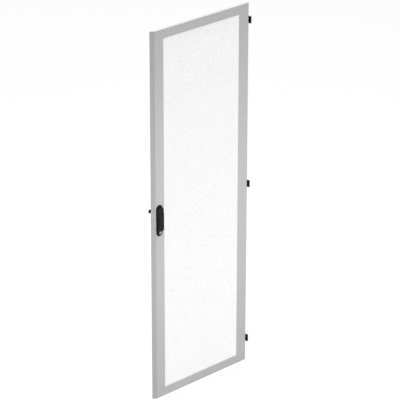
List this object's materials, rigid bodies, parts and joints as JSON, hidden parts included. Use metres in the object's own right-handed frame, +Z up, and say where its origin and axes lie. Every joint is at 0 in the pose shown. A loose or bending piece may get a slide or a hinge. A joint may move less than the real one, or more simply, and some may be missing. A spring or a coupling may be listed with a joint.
{
  "type": "perforated rack door",
  "caption": "Tall folded steel rack door with a perforated infill panel, bevelled side edges, lift-off hinges and a black swing handle with a cam latch.",
  "frame": {"origin": "middle of the lower hinge's two screw holes, on the face that meets the cabinet", "axes": "+X from the lock edge to the hinge edge, +Y from the front of the door to the cabinet, +Z up"},
  "size_m": [0.6155, 0.048, 1.8],
  "materials": {
    "frame_paint": "light grey powder coat, fine satin texture",
    "panel_paint": "very light grey powder coat over a perforated sheet, satin",
    "hinge_black": "black powder coat on zinc die castings, satin",
    "zinc_steel": "bright zinc plated steel",
    "washer_polymer": "dark grey sliding polymer, matt",
    "handle_black": "black powder coat on zinc die castings, satin",
    "lock_nickel": "nickel plated, satin",
    "cam_steel": "black passivated steel",
    "buffer_rubber": "black rubber, matt"
  },
  "bodies": {
    "cabinet_side": {"lower_frame_hinge": "hinge_black", "middle_frame_hinge": "hinge_black", "upper_frame_hinge": "hinge_black", "lower_hinge_pin": "zinc_steel", "middle_hinge_pin": "zinc_steel", "upper_hinge_pin": "zinc_steel", "thrust_washers": "washer_polymer"},
    "door": {"door_leaf": "frame_paint", "perforated_panel": "panel_paint", "lock_side_retainer": "zinc_steel", "hinge_side_retainer": "zinc_steel", "top_retainer": "zinc_steel", "bottom_retainer": "zinc_steel", "panel_studs": "zinc_steel", "panel_nuts": "zinc_steel", "lower_door_hinge": "hinge_black", "middle_door_hinge": "hinge_black", "upper_door_hinge": "hinge_black", "door_hinge_screws": "zinc_steel", "door_hinge_nuts": "zinc_steel", "handle_base": "handle_black", "handle_clamp": "zinc_steel", "handle_screws": "zinc_steel", "lock_housing": "lock_nickel", "lock_nut": "zinc_steel", "rubber_buffers": "buffer_rubber", "earthing_stud": "zinc_steel", "earthing_washer": "zinc_steel", "earthing_nut": "zinc_steel"},
    "handle": {"spindle": "handle_black", "spindle_clip": "zinc_steel", "lever_pin": "handle_black", "latch_cam": "cam_steel", "cam_washer": "zinc_steel", "cam_screw": "zinc_steel"},
    "lever": {"handle_lever": "handle_black"},
    "lock_plug": {"lock_plug": "lock_nickel", "plug_clip": "zinc_steel"}
  },
  "joints": [
    {"name": "door_swing", "type": "hinge", "parent": "cabinet_side", "child": "door", "pos_m": [0.014, -0.018, 0], "axis": [0, 0, 1], "range_deg": [0, 180]},
    {"name": "handle_turn", "type": "hinge", "parent": "door", "child": "handle", "pos_m": [-0.554, -0.026, 0.8397], "axis": [0, -1, 0], "range_deg": [0, 90]},
    {"name": "lever_lift", "type": "hinge", "parent": "handle", "child": "lever", "pos_m": [-0.554, -0.0355, 0.8257], "axis": [-1, 0, 0], "range_deg": [0, 38]},
    {"name": "key_turn", "type": "hinge", "parent": "door", "child": "lock_plug", "pos_m": [-0.554, -0.034, 0.735], "axis": [0, -1, 0], "range_deg": [0, 90]}
  ]
}
